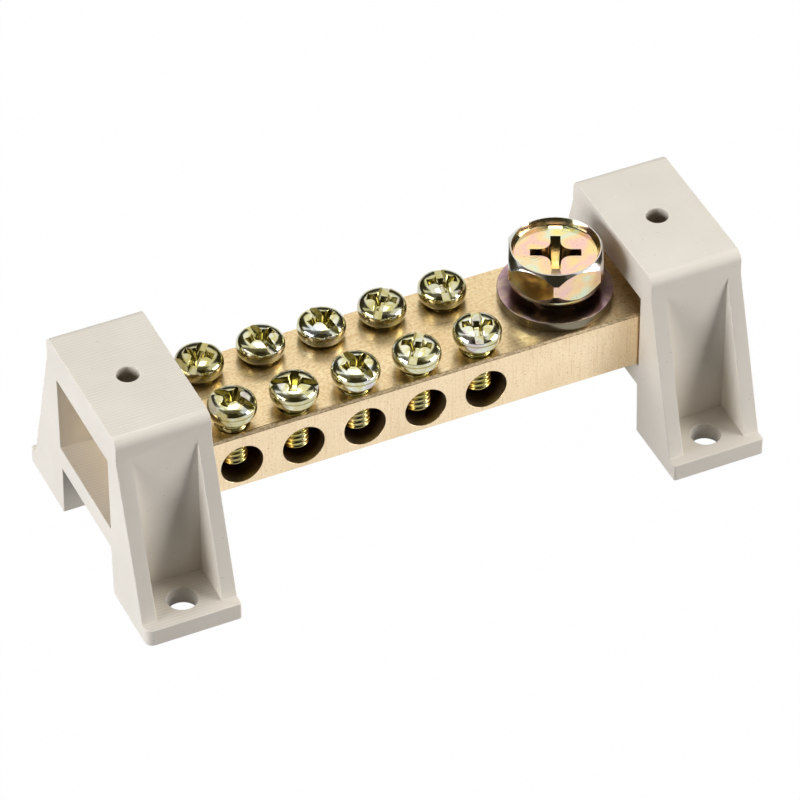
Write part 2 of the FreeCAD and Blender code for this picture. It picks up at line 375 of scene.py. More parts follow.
@dataclass(frozen=True)
class MilledBrass:
    """Bare brass: milled along the bar on top, drawn upright on the sides, with painted light making the
    sides lighter than the top and painted shade inside its holes.
    """

    name: str = "milled_brass"
    colour: Colour = srgb(231, 212, 172)
    warm: Colour = srgb(221, 198, 156)
    side: Colour = srgb(251, 229, 193)
    stroke: Colour = srgb(190, 150, 98)
    speck: Colour = srgb(104, 72, 38)
    painted_bore_shade: Colour = srgb(142, 104, 62)
    roughness: float = 0.28
    line_height: float = 0.02
    edge_share: float = 0.4
    painted_bore_shade_share: float = 0.92
    bore_roughness: float = 0.08
    bar_half_width: float = 8.6
    bar_middle_z: float = 16.225
    bar_half_height: float = 4.575
    chamfer: float = 0.35
    first_hole_x: float = -26.67
    hole_pitch: float = 9.0
    hole_z: float = 15.7
    hole_radius: float = 3.1

    def material(self) -> Material:
        """Builds the material.

        Returns:
            The material.
        """
        s = SurfaceWriter(self.name)
        level = s.between(s.absolute(s.facing["Z"]), 0.6, 0.9)
        along = s.noise((70, 3800, 3800), 3.0)
        upright = s.noise((4200, 4200, 160), 3.0)
        lines = s.first("ShaderNodeMix", {"Factor": level, "A": upright, "B": along})
        clouds = s.between(s.noise(140, 4.0, (3, 1, 7)), 0.35, 0.7)
        grain = s.between(s.noise((2400, 2800, 2800), 3.0, (6, 2, 9)), 0.42, 0.7)
        pits = s.between(s.noise((4200, 4200, 3600), 2.0, (5, 5, 5)), 0.37, 0.29)
        inside = self._inside_bores(s)
        # Painted light: the upright sides take a lighter base colour than the top.
        base = s.tinted(self.side, self.colour, level)
        base = s.tinted(base, self.warm, clouds, s.scaled(level, 0.4, 1.0))
        base = s.tinted(base, self.stroke, s.between(lines, 0.5, 0.8), s.scaled(level, 0.3, 0.5))
        base = s.tinted(base, self.stroke, grain, s.scaled(level, 0.15, 0.55))
        base = s.tinted(base, self.speck, pits, s.scaled(level, 0.5, 0.4))
        base = s.tinted(base, self.speck, self._broken_edge(s))
        # Painted shade: the walls of the wire holes are darkened.
        base = s.tinted(base, self.painted_bore_shade, inside, self.painted_bore_shade_share)
        rough = s.scaled(lines, self.roughness - 0.1, self.roughness + 0.16)
        rough = s.plus(rough, s.times(inside, self.bore_roughness))
        normal = s.bump(lines, self.line_height, 0.3)
        return s.principled(Base_Color=base, Metallic=1.0, Roughness=rough, Normal=normal)

    def _broken_edge(self, s: SurfaceWriter) -> Socket:
        """Darkens the chamfers along the bar: along both of their edges, speckled between.

        Args:
            s: the material's graph.

        Returns:
            How dark a place is.
        """
        slanted = s.absolute(s.times(s.facing["Y"], s.facing["Z"]))
        rise = s.absolute(s.minus(s.place["Z"], self.bar_middle_z * MM))
        off = s.absolute(s.minus(rise, (self.bar_half_height - self.chamfer / 2) * MM))
        to_edge = s.between(off, self.chamfer * 0.2 * MM, self.chamfer * 0.45 * MM)
        rough = s.between(s.noise((1800, 4200, 4200), 2.0, (2, 8, 4)), 0.42, 0.6)
        dark = s.plus(s.times(to_edge, self.edge_share), s.times(rough, self.edge_share))
        return s.times(s.between(slanted, 0.3, 0.45), dark)

    def _inside_bores(self, s: SurfaceWriter) -> Socket:
        """Finds the walls of the wire holes.

        Args:
            s: the material's graph.

        Returns:
            1 on the walls, fading out at the holes' mouths.
        """
        steps = s.over(s.minus(s.place["X"], self.first_hole_x * MM), self.hole_pitch * MM)
        across = s.times(s.minus(steps, s.math("ROUND", steps)), self.hole_pitch)
        upward = s.minus(s.over(s.place["Z"], MM), self.hole_z)
        side = s.over(s.absolute(s.place["Y"]), MM)
        deep = s.between(side, self.bar_half_width - 0.1, self.bar_half_width - 1.6)
        wall = s.between(s.hypot(across, upward), self.hole_radius + 0.1, self.hole_radius)
        return s.times(deep, wall)


@dataclass(frozen=True)
class BrightZinc:
    """Bright zinc plate whose passivation drifts through several tints.

    The mesh says where it is worn to silver and where it is clean and lit, each under a value of its own.
    Elsewhere the stain colour is laid over it: real stain in recesses, painted shade on the threads,
    which carry no such value, and painted shade and dark reflection round the bolt and on one of its
    flats.
    """

    name: str
    tints: tuple[tuple[int, int, int], ...]
    stain_and_shade: Colour
    silver: Colour = srgb(206, 208, 210)
    fineness: float = 330.0
    roughness: float = 0.13
    waviness: float = 0.25
    wave_height: float = 0.05
    stain_and_shade_share: float = 0.8
    grit_share: float = 0.5

    def material(self) -> Material:
        """Builds the material.

        Returns:
            The material.
        """
        s = SurfaceWriter(self.name)
        patchy = s.scaled(s.noise(700, 2.0, (4, 9, 2)), 0.5, 1.1)
        grit = s.between(s.noise(3600, 2.0, (6, 1, 3)), 0.34, 0.26)
        base = s.drifting(self.fineness, [srgb(*tint) for tint in self.tints])
        base = s.tinted(base, self.silver, s.marked("worn"), patchy)
        # The stain colour goes where the mesh is not clean and lit: real stain in recesses, painted shade
        # on threads and round the bolt, a painted dark reflection on one bolt flat.
        base = s.tinted(base, self.stain_and_shade, s.scaled(s.marked("clean"), self.stain_and_shade_share, 0.0))
        base = s.tinted(base, self.stain_and_shade, grit, self.grit_share)
        smears = s.noise(900, 3.0, (8, 2, 6))
        rough = s.scaled(smears, self.roughness - 0.05, self.roughness + 0.09)
        waves = s.noise(self.fineness * 2.2, 2.0, (1, 2, 3))
        normal = s.bump(waves, self.wave_height, self.waviness)
        return s.principled(Base_Color=base, Metallic=1.0, Roughness=rough, Normal=normal)


PLASTIC = MouldedPlastic()
BRASS = MilledBrass()
# Its stain colour is also painted shade on the threads.
YELLOW_ZINC = BrightZinc(
    "yellow_zinc",
    ((208, 216, 222), (238, 237, 208), (208, 200, 136), (230, 235, 222), (204, 192, 200)),
    stain_and_shade=srgb(156, 144, 62),
)
# Its stain colour is also painted shade on the thread and a painted dark reflection on one flat.
BOLT_ZINC = BrightZinc(
    "bolt_zinc",
    ((238, 220, 140), (216, 224, 200), (240, 210, 158), (234, 194, 186), (240, 212, 150)),
    stain_and_shade=srgb(112, 94, 44), fineness=190.0, waviness=0.12,
)
# Its dark stain colour is the painted shade and dark reflection round the bolt.
WASHER_ZINC = BrightZinc(
    "washer_zinc",
    ((202, 174, 176), (180, 146, 160), (206, 182, 168), (172, 142, 154)),
    stain_and_shade=srgb(62, 44, 46), silver=srgb(140, 132, 112), roughness=0.22, waviness=0.08,
)


# Meshes


@contextmanager
def editing(mesh: Mesh) -> Iterator[bmesh.types.BMesh]:
    """Opens a mesh for editing and writes it back.

    Args:
        mesh: the mesh.

    Yields:
        Its editable form.
    """
    work = bmesh.new()
    work.from_mesh(mesh)
    yield work
    work.to_mesh(mesh)
    work.free()


def mesh_object(name: str, mesh: Mesh) -> Object:
    """Links a mesh into the scene as an object at the origin.

    Args:
        name: the object's name.
        mesh: its mesh.

    Returns:
        The object.
    """
    made = bpy.data.objects.new(name, mesh)
    bpy.context.scene.collection.objects.link(made)
    return made


def bake(target: Object) -> None:
    """Replaces an object's modifiers by the mesh that they make.

    Args:
        target: the object.
    """
    graph = bpy.context.evaluated_depsgraph_get()
    made = bpy.data.meshes.new_from_object(target.evaluated_get(graph))
    target.modifiers.clear()
    target.data = made


def cad_copy(node: str, name: str) -> Object:
    """A copy of a CAD node with its facets merged into whole faces.

    Args:
        node: the CAD node.
        name: the new object's name.

    Returns:
        The copy.
    """
    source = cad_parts[node]
    mesh = source.data.copy()
    mesh.transform(source.matrix_world)
    with editing(mesh) as work:
        bmesh.ops.remove_doubles(work, verts=work.verts, dist=0.0005 * MM)
        flat = math.radians(0.5)
        bmesh.ops.dissolve_limit(work, angle_limit=flat, verts=work.verts, edges=work.edges)
        bmesh.ops.recalc_face_normals(work, faces=work.faces)
    mesh.materials.clear()
    return mesh_object(name, mesh)


def soften(
    target: Object,
    width: float,
    share: Callable[[Vector], float] | None = None,
    segments: int = 2,
    angle: float = 30.0,
    flat: bool = True,
) -> None:
    """Rounds an object's sharp edges and keeps the result.

    Args:
        target: the object.
        width: width of the rounding, millimetres.
        share: how much of that width an edge gets, from its middle in millimetres; all of it
            without this.
        segments: facets across the rounding.
        angle: edges sharper than this many degrees are rounded.
        flat: whether the faces beside the roundings are flat, so that they are shaded flat; without
            this, large faces lend their normals to small ones.
    """
    shade(target.data, angle)
    with editing(target.data) as work:
        weights = work.edges.layers.float.new("bevel_weight_edge")
        for edge in work.edges:
            if len(edge.link_faces) == 2 and edge.calc_face_angle(0.0) > math.radians(angle):
                middle = (edge.verts[0].co + edge.verts[1].co) / (2 * MM)
                edge[weights] = share(middle) if share else 1.0
    bevel = target.modifiers.new("soft_edges", "BEVEL")
    bevel.width = width * MM
    bevel.segments = segments
    bevel.limit_method = "WEIGHT"
    bevel.use_clamp_overlap = True
    bevel.harden_normals = flat
    bake(target)
    if not flat:
        shade(target.data, 60.0)
        weigh = target.modifiers.new("weigh_by_area", "WEIGHTED_NORMAL")
        weigh.mode = "FACE_AREA"
        weigh.keep_sharp = True
        bake(target)


def shade(mesh: Mesh, angle: float) -> None:
    """Smooth shading, with edges sharper than the angle left sharp."""
    mesh.shade_smooth()
    mesh.set_sharp_from_angle(angle=math.radians(angle))


def mark(mesh: Mesh, **rules: Rule) -> None:
    """Stores values on each face of a mesh for its finish to read.

    Args:
        mesh: the mesh.
        rules: by name, what works a value out from a face's middle, in millimetres, and normal.
    """
    for name, rule in rules.items():
        values = mesh.attributes.new(name, "FLOAT", "FACE")
        for face, value in zip(mesh.polygons, values.data):
            value.value = rule(face.center / MM, face.normal)


def lathe(name: str, profile: Sequence[Point], segments: int) -> Object:
    """A closed turned solid about Z.

    Args:
        name: the object's name.
        profile: radius and height in millimetres, from the lower pole to the upper one, or round
            a ring and back to its first point.
        segments: facets round the axis.

    Returns:
        The solid.
    """
    mesh = bpy.data.meshes.new(name)
    turns = [2 * math.pi * i / segments for i in range(segments)]
    with editing(mesh) as work:
        rings = []
        for radius, height in profile:
            around = turns if radius > 1e-6 else [0.0]
            places = [Vector((radius * math.cos(t), radius * math.sin(t), height)) for t in around]
            rings.append([work.verts.new(place * MM) for place in places])
        for lower, upper in zip(rings, rings[1:]):
            for i in range(segments):
                j = (i + 1) % segments
                if len(lower) == 1:
                    work.faces.new((lower[0], upper[j], upper[i]))
                elif len(upper) == 1:
                    work.faces.new((lower[i], lower[j], upper[0]))
                else:
                    work.faces.new((lower[i], lower[j], upper[j], upper[i]))
        bmesh.ops.remove_doubles(work, verts=work.verts, dist=1e-7)
        bmesh.ops.recalc_face_normals(work, faces=work.faces)
    return mesh_object(name, mesh)


def loft(name: str, lower: Sequence[Point], upper: Sequence[Point], heights: Point) -> Object:
    """A closed solid between two outlines with the same number of points.

    Args:
        name: the object's name.
        lower: outline at the lower height, millimetres, counterclockwise.
        upper: outline at the upper height.
        heights: the two heights.

    Returns:
        The solid.
    """
    mesh = bpy.data.meshes.new(name)
    with editing(mesh) as work:
        low = [work.verts.new((x * MM, y * MM, heights[0] * MM)) for x, y in lower]
        high = [work.verts.new((x * MM, y * MM, heights[1] * MM)) for x, y in upper]
        work.faces.new(list(reversed(low)))
        work.faces.new(high)
        for i in range(len(low)):
            j = (i + 1) % len(low)
            work.faces.new((low[i], low[j], high[j], high[i]))
    return mesh_object(name, mesh)


def cross_outline(span: float, waist: float, end: float, swell: float, steps: int = 6) -> list[Point]:
    """A cross whose arms open into a rounded middle, counterclockwise.

    Args:
        span: end to end.
        waist: width of an arm where the rounded middle begins.
        end: width of an arm at its end.
        swell: radius of the round between two arms.
        steps: facets of that round.

    Returns:
        The outline's points.
    """
    half = span / 2
    centre = waist / 2 + swell
    points = []
    for turn in range(4):
        quarter = [(half, -end / 2), (half, end / 2)]
        for i in range(steps + 1):
            t = math.pi / 2 * i / steps
            quarter.append((centre - swell * math.sin(t), centre - swell * math.cos(t)))
        c, s = round(math.cos(turn * math.pi / 2)), round(math.sin(turn * math.pi / 2))
        points += [(x * c - y * s, x * s + y * c) for x, y in quarter]
    return points


@dataclass(frozen=True)
class CrossRecess:
    """A cross recess for a screwdriver, narrower at its floor, in millimetres."""

    span: float
    waist: float
    end: float
    swell: float
    depth: float
    floor_span: float
    floor_waist: float
    floor_swell: float

    def cutter(self, mouth_z: float, overshoot: float) -> Object:
        """The solid that cuts the recess.

        Args:
            mouth_z: height of the face that it is cut into.
            overshoot: how far the solid stands out of that face.

        Returns:
            The solid.
        """
        floor = cross_outline(self.floor_span, self.floor_waist, self.floor_waist, self.floor_swell)
        mouth = cross_outline(self.span, self.waist, self.end, self.swell)
        return loft("recess_cutter", floor, mouth, (mouth_z - self.depth, mouth_z + overshoot))


def carve(target: Object, cutter: Object, operation: str = "DIFFERENCE") -> None:
    """Cuts one closed solid out of another, or keeps what both share, and removes the cutter.

    Args:
        target: the solid that is cut.
        cutter: the other one.
        operation: the boolean modifier's operation.
    """
    cut = target.modifiers.new("carve", "BOOLEAN")
    cut.operation = operation
    cut.solver = "EXACT"
    cut.object = cutter
    bake(target)
    bpy.data.objects.remove(cutter)


def cut_off_shank(mesh: Mesh, seat_z: float, head_below: bool) -> None:
    """Keeps a screw's head alone and closes it where its shank was.

    Args:
        mesh: the whole screw.
        seat_z: height of the head's bearing face, metres.
        head_below: whether the head lies under that face.
    """
    inward = -1.0 if head_below else 1.0
    place = Vector((0, 0, seat_z - inward * 0.002 * MM))
    with editing(mesh) as work:
        bmesh.ops.bisect_plane(
            work, geom=[*work.verts, *work.edges, *work.faces], dist=1e-8,
            plane_co=place, plane_no=(0, 0, inward), clear_inner=True,
        )
        bmesh.ops.holes_fill(work, edges=[e for e in work.edges if e.is_boundary])
        bmesh.ops.recalc_face_normals(work, faces=work.faces)


# Geometry nodes


@dataclass(frozen=True)
class Thread:
    """A screw's thread, from the head's bearing face to the tip, in millimetres.

    The drawn one stays inside the CAD's shank by its play.
    """

    radius: float
    depth: float
    pitch: float
    length: float
    tip_chamfer: float
    play: float = 0.02


class ThreadedShank:
    """A node group that adds a helical thread under a head, turns the whole screw and places it.

    The thread runs up into the head by OVERLAP, and points nearer than MERGED become one, both in
    millimetres.
    """

    SEGMENTS = 64
    ROWS_PER_TURN = 8
    OVERLAP = 0.3
    MERGED = 0.002
    NUMBERS = ("Thread Radius", "Thread Depth", "Pitch", "Length", "Tip Chamfer", "Tilt", "Azimuth")

    def __init__(self) -> None:
        """Builds the group."""
        self.tree = bpy.data.node_groups.new("threaded_shank", "GeometryNodeTree")
        self.graph = NodeGraph(self.tree)
        for way, kind, names in (
            ("INPUT", "Geometry", ("Head",)),
            ("INPUT", "Float", self.NUMBERS),
            ("INPUT", "Vector", ("Seat",)),
            ("INPUT", "Material", ("Finish",)),
            ("OUTPUT", "Geometry", ("Screw",)),
        ):
            for name in names:
                self.tree.interface.new_socket(name=name, in_out=way, socket_type=f"NodeSocket{kind}")
        self.given = self.graph.add("NodeGroupInput").outputs
        self.graph.add("NodeGroupOutput", {0: self._screw()})

    def _screw(self) -> Socket:
        """Joins the head and its thread, then turns, places and finishes them.

        Returns:
            The whole screw.
        """
        g, given = self.graph, self.given
        length = g.plus(given["Length"], self.OVERLAP * MM)
        root = g.minus(given["Thread Radius"], given["Thread Depth"])
        tip = g.minus(given["Thread Radius"], given["Tip Chamfer"])
        low_cap = self._cap(tip, 0.0, True)
        high_cap = self._cap(g.math("MAXIMUM", root, 0.0), length, False)
        closed = g.join(self._flanks(length, root, tip), low_cap, high_cap)
        merge = {"Geometry": closed, "Distance": self.MERGED * MM}
        merged = g.first("GeometryNodeMergeByDistance", merge)
        drop = g.first("ShaderNodeCombineXYZ", {"Z": g.times(given["Length"], -1.0)})
        shank = g.first("GeometryNodeTransform", {"Geometry": merged, "Translation": drop})
        whole = g.join(shank, given["Head"])
        turn = g.first("ShaderNodeCombineXYZ", {"X": given["Tilt"], "Z": given["Azimuth"]})
        place = {"Geometry": whole, "Translation": given["Seat"], "Rotation": turn}
        placed = g.first("GeometryNodeTransform", place)
        real = g.first("GeometryNodeRealizeInstances", {"Geometry": placed})
        smooth = g.first("GeometryNodeSetShadeSmooth", {"Geometry": real})
        return g.first("GeometryNodeSetMaterial", {"Geometry": smooth, "Material": given["Finish"]})

    def _flanks(self, length: Socket, root: Socket, tip: Socket) -> Socket:
        """The thread's open surface, rolled up from a grid.

        Args:
            length: of the thread.
            root: its inner radius.
            tip: radius of the end's face.

        Returns:
            The surface, with its tip at the origin.
        """
        g, given = self.graph, self.given
        turns = g.plus(g.math("CEIL", g.over(length, given["Pitch"])), 1.0)
        rows = g.plus(g.times(turns, float(self.ROWS_PER_TURN)), 1.0)
        lattice = {"Size X": 1.0, "Size Y": 1.0, "Vertices X": self.SEGMENTS + 1, "Vertices Y": rows}
        grid = g.first("GeometryNodeMeshGrid", lattice)
        at = g.add("ShaderNodeSeparateXYZ", {0: g.first("GeometryNodeInputPosition")}).outputs
        turned = g.plus(at["X"], 0.5)
        risen = g.times(g.plus(at["Y"], 0.5), turns)
        angle = g.times(turned, 2 * math.pi)
        climb = g.times(g.minus(g.plus(risen, turned), 1.0), given["Pitch"])
        height = g.math("MINIMUM", g.math("MAXIMUM", climb, 0.0), length)
        phase = g.math("FRACT", g.plus(risen, 0.001))
        wave = g.minus(1.0, g.absolute(g.minus(g.times(phase, 2.0), 1.0)))
        crest = g.plus(root, g.times(g.between(wave, 0.05, 0.6), given["Thread Depth"]))
        below = g.math("MINIMUM", crest, g.plus(tip, height))
        radius = g.math("MINIMUM", below, g.plus(root, g.minus(length, height)))
        x, y = (g.times(radius, g.math(part, angle)) for part in ("COSINE", "SINE"))
        where = g.first("ShaderNodeCombineXYZ", {"X": x, "Y": y, "Z": height})
        return g.first("GeometryNodeSetPosition", {"Geometry": grid, "Position": where})

    def _cap(self, radius: Any, height: Any, down: bool) -> Socket:
        """A disc that closes one end of the thread.

        Args:
            radius: of the disc.
            height: above the tip.
            down: whether it faces down.

        Returns:
            The disc.
        """
        g = self.graph
        circle = {"Vertices": self.SEGMENTS, "Radius": radius}
        disc = g.first("GeometryNodeMeshCircle", circle, fill_type="NGON")
        if down:
            disc = g.first("GeometryNodeFlipFaces", {"Mesh": disc})
        lift = g.first("ShaderNodeCombineXYZ", {"Z": height})
        return g.first("GeometryNodeTransform", {"Geometry": disc, "Translation": lift})

    def apply(
        self,
        target: Object,
        thread: Thread,
        seat: Vector,
        finish: Material,
        tilt: float = 0.0,
        azimuth: float = 0.0,
    ) -> None:
        """Runs the group on a head and keeps the result as a plain mesh.

        Args:
            target: the object that holds the head.
            thread: the thread.
            seat: middle of the head's bearing face, metres.
            finish: the screw's material.
            tilt: how far the screw is turned over, radians about X.
            azimuth: how far it is turned about Z, radians.
        """
        sizes = (thread.radius - thread.play, thread.depth, thread.pitch,
                 thread.length - thread.play, thread.tip_chamfer)
        values = dict(zip(self.NUMBERS, [*(size * MM for size in sizes), tilt, azimuth]))
        values |= {"Seat": seat, "Finish": finish}
        modifier = target.modifiers.new("threaded_shank", "NODES")
        modifier.node_group = self.tree
        for item in self.tree.interface.items_tree:
            if item.name in values:
                modifier[item.identifier] = values[item.name]
        bake(target)


# Sub-assemblies


@dataclass
class Piece:
    """What every shown piece has in common.

    Args:
        name: the piece's name.
        nodes: CAD nodes that it stands for.
        slot: the record's material slot; not used.
        material: its finish.
    """

    name: str
    nodes: tuple[str, ...]
    slot: Slot
    material: Material

    def axis_at(self, height: float) -> Vector:
        """The point at a height, metres, on the upright axis of the piece's node."""
        lo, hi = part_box(self.nodes[0])
        return Vector(((lo.x + hi.x) / 2, (lo.y + hi.y) / 2, height))

    def settle(self, made: Object) -> None:
        """Gives an object its finish and hands it to the frame.

        Args:
            made: the object.
        """
        made.name = self.name
        made.data.name = self.name
        made.data.materials.clear()
        made.data.materials.append(self.material)
        for polygon in made.data.polygons:
            polygon.material_index = 0
        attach(made, BODY)
        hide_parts(*self.nodes)
        lo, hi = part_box(self.nodes[0])
        log.info("%s: %d faces, box %s to %s mm", self.name, len(made.data.polygons),
                 [round(v / MM, 2) for v in lo], [round(v / MM, 2) for v in hi])


@dataclass
class MouldedSupport(Piece):
    """A moulded bridge support with softly rounded edges, sharper round its holes."""

    edge_round: float = 0.14
    hole_share: float = 0.4
    hole_margin: float = 0.1
    foot_hole_radius: float = 2.15
    foot_hole_inset: float = 4.2
    fixing_hole_radius: float = 2.25
    fixing_x: float = 36.2

    def build(self) -> None:
        """Builds the piece."""
        made = cad_copy(self.nodes[0], self.name)
        soften(made, self.edge_round, self._share)
        self.settle(made)

    def _share(self, place: Vector) -> float:
        """How much of the rounding an edge gets.

        Args:
            place: the edge's middle, millimetres.

        Returns:
            A share of the width.
        """
        lo, hi = (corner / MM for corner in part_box(self.nodes[0]))
        middle = (lo.x + hi.x) / 2
        foot_hole_y = hi.y - self.foot_hole_inset
        holes = (
            (middle, 0.0, PLASTIC.pilot_hole_radius),
            (math.copysign(self.fixing_x, middle), 0.0, self.fixing_hole_radius),
            (middle, math.copysign(foot_hole_y, place.y), self.foot_hole_radius),
        )
        margin = self.hole_margin
        near = any(math.hypot(place.x - x, place.y - y) < radius + margin for x, y, radius in holes)
        return self.hole_share if near else 1.0


@dataclass
class BrassBar(Piece):
    """The drilled bar, with the mouths of its holes broken by a fine chamfer."""

    mouth_break: float = 0.18
    hole_reach: float = 3.2
    side_margin: float = 0.01

    def build(self) -> None:
        """Builds the piece."""
        made = cad_copy(self.nodes[0], self.name)
        soften(made, self.mouth_break, self._share, segments=1)
        self.settle(made)

    def _share(self, place: Vector) -> float:
        """How much of the mouth's chamfer an edge gets.

        Args:
            place: the edge's middle, millimetres.

        Returns:
            All of it at a mouth, none elsewhere.
        """
        steps = (place.x - BRASS.first_hole_x) / BRASS.hole_pitch
        across = (steps - round(steps)) * BRASS.hole_pitch
        on_side = abs(abs(place.y) - BRASS.bar_half_width) < self.side_margin
        mouth = on_side and math.hypot(across, place.z - BRASS.hole_z) < self.hole_reach
        return 1.0 if mouth else 0.0


@dataclass
class TerminalScrewHead:
    """The blank of a terminal screw's head: domed, with a slot across it and a cross recess."""

    radius: float = 3.38
    underside_radius: float = 2.75
    belt_height: float = 1.35
    height: float = 3.1
    dome_power: float = 2.6
    slot_floor_width: float = 1.1
    slot_mouth_width: float = 1.45
    slot_depth: float = 1.1
    slot_overshoot: float = 0.3
    recess: CrossRecess = CrossRecess(
        span=4.4, waist=1.1, end=1.45, swell=1.0, depth=1.9,
        floor_span=2.3, floor_waist=0.6, floor_swell=0.35,
    )
    recess_overshoot: float = 0.01
    edge_round: float = 0.06
    underside_steps: int = 10
    dome_steps: int = 20
    segments: int = 96

    def profile(self) -> list[Point]:
        """The head's half section.

        Returns:
            Radius and height from the underside's middle to the crown.
        """
        points = [(0.0, 0.0), (self.underside_radius * 0.6, 0.0)]
        for i in range(self.underside_steps + 1):
            turn = math.pi / 2 * i / self.underside_steps
            out = (self.radius - self.underside_radius) * math.sin(turn)
            points.append((self.underside_radius + out, self.belt_height * (1 - math.cos(turn))))
        for i in range(1, self.dome_steps):
            turn = math.pi / 2 * i / self.dome_steps
            radius = self.radius * math.cos(turn) ** (2 / self.dome_power)
            points.append((radius, self.crown(radius)))
        points.append((0.0, self.height))
        return points

    def crown(self, radius: float) -> float:
        """Height of the dome at a distance from the axis."""
        share = min(radius / self.radius, 1.0) ** self.dome_power
        return self.belt_height + (self.height - self.belt_height) * (1 - share) ** (1 / self.dome_power)

    def build(self) -> Mesh:
        """Builds the blank.

        Returns:
            Its mesh, with the bearing face on z = 0 and the slot along X.
        """
        head = lathe("terminal_screw_head", self.profile(), self.segments)
        reach = self.radius + 1
        floor, mouth = (
            [(-reach, -half), (reach, -half), (reach, half), (-reach, half)]
            for half in (self.slot_floor_width / 2, self.slot_mouth_width / 2)
        )
        levels = (self.height - self.slot_depth, self.height + self.slot_overshoot)
        carve(head, loft("slot_cutter", floor, mouth, levels))
        carve(head, self.recess.cutter(self.height, self.recess_overshoot))
        soften(head, self.edge_round, angle=35.0, flat=False)
        mark(head.data, clean=self._clean, worn=self._worn)
        mesh = head.data
        bpy.data.objects.remove(head)
        return mesh

    def _clean(self, middle: Vector, normal: Vector) -> float:
        """Clean on the dome, nearly so on the slot's floor, stained in the recess.

        Args:
            middle: the face's middle, millimetres above the bearing face.
            normal: its normal.

        Returns:
            How clean the face is, 0 to 1.
        """
        if middle.z > self.crown(middle.to_2d().length) - 0.08 or middle.z < self.belt_height:
            return 1.0
        on_slot_floor = normal.z > 0.9 and middle.z > self.height - self.slot_depth - 0.05
        return 0.7 if on_slot_floor else 0.1

    def _worn(self, middle: Vector, normal: Vector) -> float:
        """Silver round the belt."""
        return 0.35 if abs(middle.z - self.belt_height) < 0.7 and abs(normal.z) < 0.6 else 0.1


@dataclass
class TerminalScrew(Piece):
    """One terminal screw, threaded, turned and placed like its CAD node.

    Args:
        head: the blank of its head.
        shank: what draws its thread.
        azimuth: which way the slot points, degrees from +X.
        tarnish: how stained the head is, 0 to 1.
    """

    head: Mesh
    shank: ThreadedShank
    azimuth: float
    tarnish: float
    head_height: float = 3.1
    thread: Thread = Thread(radius=2.0, depth=0.3, pitch=0.8, length=8.1, tip_chamfer=0.8)

    def build(self) -> None:
        """Builds the piece."""
        made = mesh_object(self.name, self.head.copy())
        for face in made.data.attributes["clean"].data:
            face.value *= 1 - self.tarnish
        seat = self.axis_at(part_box(self.nodes[0])[1].z - self.head_height * MM)
        self.shank.apply(made, self.thread, seat, self.material, azimuth=math.radians(self.azimuth))
        self.settle(made)


@dataclass
class ThreadedPiece(Piece):
    """A screw whose head keeps the CAD's shape and whose thread is drawn as a real one."""

    shank: ThreadedShank
    thread: Thread
    head_below: bool = False
    edge_round: float = 0.06

    def build(self) -> None:
        """Builds the piece."""
        lo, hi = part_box(self.nodes[0])
        length = self.thread.length * MM
        seat = self.axis_at(hi.z - length if self.head_below else lo.z + length)
        tilt = math.pi if self.head_below else 0.0
        made = self.head(seat, tilt)
        mark(made.data, clean=self.clean, worn=self.worn)
        self.shank.apply(made, self.thread, seat, self.material, tilt=tilt)
        self.settle(made)

    def head(self, seat: Vector, tilt: float) -> Object:
        """The head alone, upright, with its bearing face on z = 0.

        Args:
            seat: the middle of the bearing face, metres.
            tilt: how far the screw is turned over, radians about X.

        Returns:
            The head.
        """
        made = cad_copy(self.nodes[0], self.name)
        cut_off_shank(made.data, seat.z, self.head_below)
        soften(made, self.edge_round)
        placed = Matrix.Translation(seat) @ Matrix.Rotation(tilt, 4, "X")
        made.data.transform(placed.inverted())
        return made

    def clean(self, middle: Vector, normal: Vector) -> float:
        """How clean a face of the head is, from its place above the bearing face."""
        return 0.2 if middle.to_2d().length < 2.2 and abs(normal.z) < 0.9 else 1.0

    def worn(self, middle: Vector, normal: Vector) -> float:
        """How worn a face of the head is, from its place above the bearing face."""
        return 0.5 if abs(normal.z) < 0.9 and middle.to_2d().length > 3.0 else 0.1


